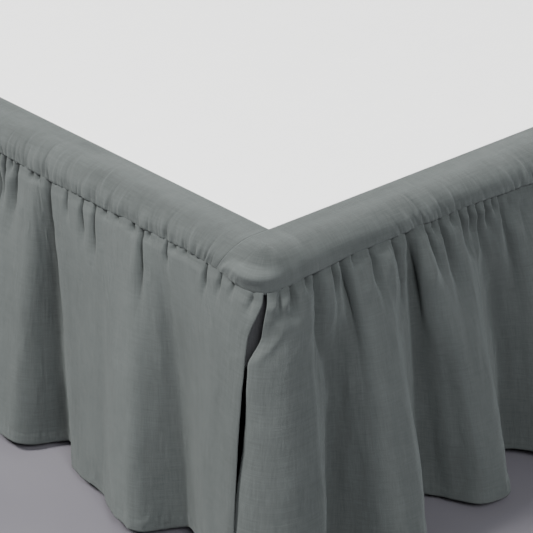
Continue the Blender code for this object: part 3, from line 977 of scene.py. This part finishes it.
def corner_fullness(signed, to_seam):
    """The full lip of cloth over the corner: along the band a bell curve beside the corner,
    across it a straight rise from the seam to a ridge, then the fall of a bell curve."""
    ridge = 0.002 + 0.0125 * ease((signed + 0.060) / 0.036)
    profile = np.clip(to_seam / ridge, 0.0, 1.0) * bell(np.maximum(to_seam - ridge, 0.0), 0.006)
    return CORNER_FULL * profile * bell(signed + 0.014, 0.024)


def band_relief(along, to_seam, puckers, seed):
    """How far the band's face stands proud: puckers and slack, which die out at the butt seam, and
    a last 2 mm turned in."""
    nearest = np.minimum(np.abs(along), FOOT_RUN - np.abs(along))
    free = ease(np.abs(nearest - BUTT_ALONG) / 0.012)
    held = ease((BAND_CUT - to_seam) / 0.014)
    slack = SLACK_HEIGHT * held * noise_plane(along / 0.07 + 9, to_seam / 0.035, seed + 3)
    fine = FINE_HEIGHT * held * noise_plane(along / 0.018 + 9, to_seam / 0.012, seed + 4)
    return free * (PUCKER_STRENGTH * puckers + slack + fine) - EDGE_IN * bell(to_seam, EDGE_WIDTH)


# %% Stations, butt seam and finish of a band
BAND_STEP = 0.0016
ALONG_STEP, FAR_STEP = 0.0014, 0.0060
NEAR_LENGTH = 0.52
BUTT_PULL, BUTT_WIDTH = 0.020, 0.042


def band_stations(start):
    """Distances across the band, from its inner edge over the roll to the seam."""
    return np.linspace(start, BAND_DOWN, round((BAND_DOWN - start) / BAND_STEP) + 1)


def spaced_along(length):
    """Distances from the corner: close together at first, further apart past the near stretch."""
    near = np.arange(0.0, min(NEAR_LENGTH, length), ALONG_STEP)
    far = np.linspace(near[-1], length, round((length - near[-1]) / FAR_STEP) + 2)
    return np.concatenate([near, far[1:]])


def pull_butt(points):
    """Draws the butt seam towards the middle of the foot as it goes down, and the cloth with it."""
    x, y, z = points[..., 0], points[..., 1], points[..., 2]
    share = np.clip((CLOTH_TOP - z) / SEAM_DROP, 0.0, 1.0) ** 1.2
    share = share * ease((FOOT_Y + BAND_ON_TOP - y) / 0.03)
    share = share * bell(HALF_WIDTH - BAND_ON_TOP - np.abs(x), BUTT_WIDTH)
    moved = points.copy()
    moved[..., 0] -= np.sign(x) * BUTT_PULL * share
    return moved


def finish_band(node, points, along, to_seam, puckers, seed, flip):
    """Adds the relief along the surface's normals and makes the piece.

    The tone is painted light and shade: painted shade darkens the top and the hollows of
    puckers, and painted light lightens the long sides low down.
    """
    points = pull_butt(points)
    normal = surface_normals(points)
    normal = normal * np.sign(normal[..., 2].sum())
    relief = band_relief(along, to_seam, puckers, seed)
    points = points + normal * relief[..., None]
    flat = np.stack([along, to_seam], -1)
    # Painted light and shade: lighter on proud puckers and low on the long sides, darker in hollows
    # and over the top.
    tone = np.clip(relief / 0.002, -0.5, 0.5) - 0.5 * ease((to_seam - 0.016) / 0.024)
    tone = tone + 0.5 * np.abs(normal[..., 0]) * ease((0.038 - to_seam) / 0.018)
    band = add_piece(sheet_mesh(node + "_cloth", points, flat, tone, flip), linen, "linen", node)
    thicken(band)
    print(f"{node}: {points.shape[0]} x {points.shape[1]}")


# %% Sew the bands
def add_side_band(node, mirror, seed):
    """The strip along one side and round its foot corner."""
    start = CORNER_ROUND - BAND_ON_TOP
    across = np.concatenate([np.linspace(start, 0.0, 13)[:-1], band_stations(0.0)])
    side_part = -spaced_along(SIDE_RUN - HALF_CORNER)[1:]
    a, b = np.meshgrid(across, np.concatenate([band_stations(0.0)[::-1], side_part]))
    x, y, down, along = over_corner(a, b)
    on_foot = b > np.maximum(a, 0.0)
    side = seam_height(along, SIDE_RUN, SIDE_PHASE)
    foot = seam_height(along, FOOT_RUN, FOOT_PHASE)
    down = follow_seam(down, np.where(on_foot, foot, side))
    points = np.stack([CORNER_X + x, CORNER_Y + y, CLOTH_TOP - down], -1)
    if mirror:
        points[..., 0] *= -1
    to_seam = BAND_DOWN - np.maximum(a, b)
    signed = np.where(on_foot, -along, along)
    puckers = pucker_field(along, to_seam, SIDE_RUN, -0.32, seed + 20)
    puckers = side_strength(along, on_foot) * puckers + corner_fullness(signed, to_seam)
    finish_band(node, points, signed, to_seam, puckers, seed, mirror)


def add_foot_band(node, seed):
    """The strip across the foot, between the two side strips."""
    inner = HALF_WIDTH - BAND_ON_TOP
    start = CORNER_ROUND - BAND_ON_TOP
    x, b = np.meshgrid(inner - spaced_along(2 * inner), band_stations(start))
    out, down = roll(np.maximum(b, 0.0))
    along = CORNER_X + HALF_CORNER - x
    down = follow_seam(down, seam_height(along, FOOT_RUN, FOOT_PHASE))
    points = np.stack([x, CORNER_Y - np.where(b > 0, out, b), CLOTH_TOP - down], -1)
    to_seam = BAND_DOWN - b
    puckers = pucker_field(along, to_seam, FOOT_RUN, 0.12, seed + 20)
    finish_band(node, points, along, to_seam, puckers, seed, False)


add_side_band("band_side_right", False, 410)
add_side_band("band_side_left", True, 430)
add_foot_band("band_foot", 450)

# %% [markdown]
# ## Deck
# The deck is plain white cotton, held flat by the mattress that lies on it. With no mattress on
# it, it shows soft ripples and a press line each way from being folded in its packet. All of that
# is under a millimetre, so a height formula on a plain grid is enough.

# %% Deck cloth
DECK_THICK = 0.0006
DECK_SINK = 0.0011
DECK_LAP = 0.003
PRESS_AT, PRESS_WIDTH = (0.02, 0.25), 0.004


def add_deck(node):
    """A flat grid with slow ripples, thin creases and press lines, which end at its edges."""
    x = np.linspace(deck_low[0] - DECK_LAP, deck_high[0] + DECK_LAP, 110)[None, :]
    y = np.linspace(deck_low[1] - DECK_LAP, HEAD_Y, 180)[:, None]
    x, y = np.broadcast_arrays(x, y)
    ripple = 0.0003 * noise_plane(x / 0.09 + 40, y / 0.14 + 40, 510)
    crumple = 0.0005 * creases(x / 0.10 + y / 0.3 + 40, y / 0.08 + 40, 511)
    press = bell(x - PRESS_AT[0], PRESS_WIDTH) + bell(y - PRESS_AT[1], PRESS_WIDTH)
    inside = ease((deck_high[0] - 0.002 - np.abs(x)) / 0.03)
    inside = inside * ease((y - deck_low[1] - 0.002) / 0.03)
    z = CLOTH_TOP - DECK_SINK + inside * (0.0002 + ripple + crumple + 0.0005 * press)
    mesh = sheet_mesh(node + "_cloth", np.stack([x, y, z], -1), np.stack([x, y], -1))
    deck = add_piece(mesh, cotton, "cotton", node)
    thicken(deck, DECK_THICK)
    print(f"{node}: {x.shape[0]} x {x.shape[1]}")


add_deck("deck")

# %% [markdown]
# ## Base and legs
# The skirt hides the base almost wholly. It is a plain upholstered block with welted edges on
# four turned legs. A bevelled box would do for the block, but a profile carried round a rounded
# loop gives its welts as well.

# %% Upholstered base
BASE_ROUND = 0.034
WELT = 0.0028
FULL_RING = 10


def close_mesh(mesh):
    """Merges the points that meet at seams and poles, so that the shell is closed."""
    shell = bmesh.new()
    shell.from_mesh(mesh)
    bmesh.ops.remove_doubles(shell, verts=shell.verts, dist=1e-6)
    bmesh.ops.recalc_face_normals(shell, faces=shell.faces)
    shell.to_mesh(mesh)
    shell.free()
    return mesh


def rounded_loop(half_x, half_y, radius, straight):
    """Points round a rectangle with round corners, from the left end of the foot side."""
    quarter = np.linspace(0.0, math.pi / 2, 9)
    arc = np.stack([np.sin(quarter), -np.cos(quarter)], -1) * radius
    across = np.linspace(-1.0, 1.0, straight)[1:-1, None] * np.array([[half_x - radius, 0.0]])
    along = np.linspace(-1.0, 1.0, 2 * straight)[1:-1, None] * np.array([[0.0, half_y - radius]])
    x, y = half_x - radius, half_y - radius
    turned = arc @ [[0, 1], [-1, 0]]
    parts = [
        across + (0, -half_y), arc + (x, -y), along + (half_x, 0), turned + (x, y),
        -across + (0, half_y), -arc + (-x, y), -along + (-half_x, 0), -turned + (-x, -y),
    ]
    return np.concatenate(parts + [parts[0][:1]])


def base_profile(height):
    """(inset, height) from the middle of the underside to the middle of the top.

    Round edges top and bottom, and on the side of each a welt, which is a half circle of cord.
    """
    turn = np.linspace(0.0, math.pi / 2, 7)
    edge = np.stack([BASE_ROUND * (1 - np.sin(turn)), BASE_ROUND * (1 - np.cos(turn))], -1)
    cord = np.linspace(0.0, math.pi, 9)
    welt = np.stack([-WELT * np.sin(cord), BASE_ROUND + WELT * (1 - np.cos(cord))], -1)
    side = np.stack([0.0008 * np.ones(8), np.linspace(BASE_ROUND + 0.012, height / 2, 8)], -1)
    insets = ((base_high[0] - base_low[0]) / 2, 0.30, 0.12, 0.05)
    inner = np.array([(inset, 0.0) for inset in insets])
    lower = np.concatenate([inner, edge, welt, side])
    upper = lower[-2::-1] * (1, -1) + (0, height)
    return np.concatenate([lower, upper])


def add_base(node):
    """A closed block: a rounded loop, inset and raised as the profile says.

    The weave is measured round FULL_RING, the profile's first ring at the block's full width.
    """
    half, middle = (base_high - base_low) / 2, (base_high + base_low) / 2
    rings = []
    for inset, up in base_profile(2 * half[2]):
        radius = max(BASE_ROUND - 0.5 * max(inset, 0.0), 0.0)
        ring = rounded_loop(half[0] - inset, half[1] - inset, radius, 22)
        rings.append(np.column_stack([ring, np.full(len(ring), up)]))
    points = np.array(rings) + np.array([middle[0], middle[1], base_low[2]])
    length, rise = running_length(points[FULL_RING]), running_length(points[:, 0])
    flat = np.stack(np.broadcast_arrays(length[None, :], rise[:, None]), -1)
    add_piece(close_mesh(sheet_mesh(node + "_cover", points, flat)), ticking, "ticking", node)
    print(f"{node}: {points.shape[0]} x {points.shape[1]}")


add_base("base")

# %% [markdown]
# ## Turned legs
# Each leg is turned on a lathe: a collar under the base, a long taper, a small bead above the
# foot, and a felt glide. Lathe work is a profile carried round a circle, which Blender's Screw
# modifier could do too. Here the arrays take each leg's place and size from its CAD node. The
# grain runs down the leg, so the wood's noise is drawn out along z.

# %% Beech finish
BEECH_GRAIN = (120.0, 120.0, 7.0)


def beech_finish():
    """Stained beech: fine noise drawn out along z for grain, darker and glossier in its troughs,
    and satin varnish."""
    finish, tree, shader = new_finish("stained beech")
    place = tree.nodes.new("ShaderNodeTexCoord")
    grain = stretched_noise(tree, place.outputs["Object"], BEECH_GRAIN, detail=5.0)
    two_tone(tree, shader, grain, (0.32, (0.045, 0.024, 0.013)), (0.68, (0.130, 0.075, 0.042)))
    rough = math_node(tree, "MULTIPLY_ADD", grain, 0.25, 0.28)
    tree.links.new(rough, shader.inputs["Roughness"])
    add_bump(tree, shader, grain, 0.3, distance=0.0004)
    return finish


beech = beech_finish()
print("wood finish:", beech.name)

# %% Turn the legs
LEG_PROFILE = (
    (0.00, 0.000), (0.55, 0.000), (0.66, 0.004), (0.69, 0.012), (0.70, 0.060), (0.72, 0.100),
    (0.76, 0.106), (0.80, 0.114), (0.80, 0.122), (0.76, 0.130), (0.735, 0.136), (0.75, 0.300),
    (0.81, 0.600), (0.88, 0.860), (0.90, 0.900), (0.90, 0.912), (0.96, 0.918), (0.995, 0.932),
    (1.00, 0.948), (0.99, 0.985), (0.96, 0.998), (0.80, 1.000), (0.00, 1.000),
)
LEG_SIDES = 48


def add_leg(node):
    """A surface of revolution: the profile's (radius share, height share) round the leg's axis."""
    low, high = (np.array(corner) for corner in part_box(node))
    middle, radius = (low + high) / 2, (high[0] - low[0]) / 2
    rows = np.arange(len(LEG_PROFILE))
    fine = np.linspace(0.0, rows[-1], 4 * rows[-1] + 1)
    share, up = (np.interp(fine, rows, column) for column in np.array(LEG_PROFILE).T)
    turn = np.linspace(0.0, 2 * math.pi, LEG_SIDES + 1)
    x = middle[0] + radius * share[:, None] * np.cos(turn)
    y = middle[1] + radius * share[:, None] * np.sin(turn)
    z = np.broadcast_to(low[2] + (high[2] - low[2]) * up[:, None], x.shape)
    points = np.stack([x, y, z], -1)
    flat = np.stack(np.broadcast_arrays(radius * turn[None, :], z), -1)
    add_piece(close_mesh(sheet_mesh(node + "_turned", points, flat)), beech, "wood", node)
    print(f"{node}: radius {radius:.3f}, height {high[2] - low[2]:.3f}")


for leg_node in ("leg_foot_right", "leg_head_right", "leg_foot_left", "leg_head_left"):
    add_leg(leg_node)

# %% [markdown]
# ## Floor
# The floor is pale sealed screed, a little cloudy and a little glossy, so the skirt's hem throws
# a soft reflection. It is the stage, not a part of the object, so a plain plane will do.

# %% Floor
def floor_finish():
    """Pale sealed floor: cloudy tone and a soft gloss."""
    finish, tree, shader = new_finish("pale floor")
    place = tree.nodes.new("ShaderNodeTexCoord")
    cloud = stretched_noise(tree, place.outputs["Object"], (3.0, 4.0, 3.0), detail=4.0)
    two_tone(tree, shader, cloud, (0.30, (0.128, 0.122, 0.139)), (0.70, (0.150, 0.144, 0.161)))
    shader.inputs["Roughness"].default_value = 0.30
    return finish


bpy.ops.mesh.primitive_plane_add(size=60.0)
floor = bpy.context.active_object
floor.name = "floor"
floor.data.materials.append(floor_finish())
